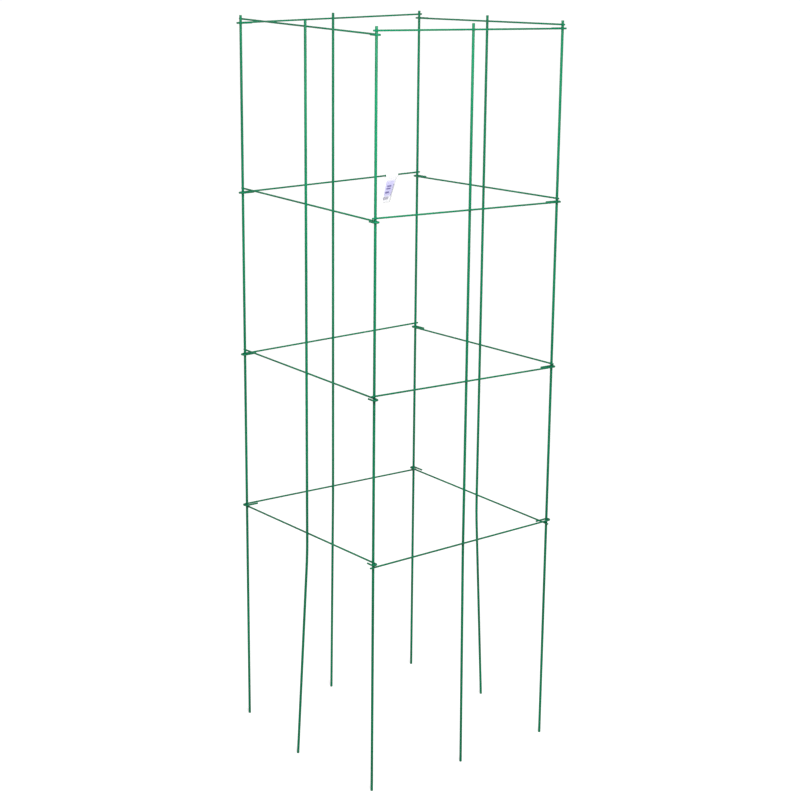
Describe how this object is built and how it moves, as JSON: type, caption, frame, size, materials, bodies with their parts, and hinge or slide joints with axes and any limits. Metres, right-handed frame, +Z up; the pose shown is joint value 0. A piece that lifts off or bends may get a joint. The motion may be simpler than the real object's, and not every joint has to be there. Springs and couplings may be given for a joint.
{
  "type": "folding square tomato cage",
  "caption": "Square wire plant cage of welded panels hinged by hairpin eyes, folding flat; long legs push into the soil and open tiers support a growing tomato.",
  "frame": {"origin": "on the cage's upright centre line, at the height of the leg tips", "axes": "+Z up along the uprights, -Y out of the front panel, +X out of the right panel"},
  "size_m": [0.3996, 0.3834, 1.188],
  "materials": {
    "coated_wire": "satin powder coat",
    "tag": "matte"
  },
  "bodies": {
    "front_panel": {"front_corner_upright": "coated_wire", "front_mid_upright": "coated_wire", "front_mid_leg": "coated_wire", "front_rail_bottom": "coated_wire", "front_rail_lower": "coated_wire", "front_rail_upper": "coated_wire", "front_rail_top": "coated_wire"},
    "right_panel": {"right_corner_upright": "coated_wire", "right_mid_upright": "coated_wire", "right_mid_leg": "coated_wire", "right_rail_bottom": "coated_wire", "right_rail_lower": "coated_wire", "right_rail_upper": "coated_wire", "right_rail_top": "coated_wire"},
    "back_panel": {"back_corner_upright": "coated_wire", "back_mid_upright": "coated_wire", "back_mid_leg": "coated_wire", "back_rail_bottom": "coated_wire", "back_rail_lower": "coated_wire", "back_rail_upper": "coated_wire", "back_rail_top": "coated_wire"},
    "left_panel": {"left_corner_upright": "coated_wire", "left_mid_upright": "coated_wire", "left_mid_leg": "coated_wire", "left_rail_bottom": "coated_wire", "left_rail_lower": "coated_wire", "left_rail_upper": "coated_wire", "left_rail_top": "coated_wire"},
    "hang_tag": {"hang_tag": "tag"}
  },
  "joints": [
    {"name": "cage_fold", "type": "hinge", "parent": "front_panel", "child": "right_panel", "pos_m": [0.178, -0.178, 0.594], "axis": [0, 0, 1], "range_deg": [-86, 86]},
    {"name": "left_fold", "type": "hinge", "parent": "front_panel", "child": "left_panel", "pos_m": [-0.178, -0.178, 0.594], "axis": [0, 0, 1], "range_deg": [-86, 86]},
    {"name": "back_fold", "type": "hinge", "parent": "right_panel", "child": "back_panel", "pos_m": [0.178, 0.178, 0.594], "axis": [0, 0, 1], "range_deg": [-86, 86]},
    {"name": "tag_swing", "type": "hinge", "parent": "back_panel", "child": "hang_tag", "pos_m": [0.12501, 0.18134, 0.91411], "axis": [0.9999, -0.0017, 0.0169], "range_deg": [-8, 62]}
  ],
  "couplings": [
    {"joint": "left_fold", "follows": "cage_fold", "ratio": 1},
    {"joint": "back_fold", "follows": "cage_fold", "ratio": -1}
  ]
}
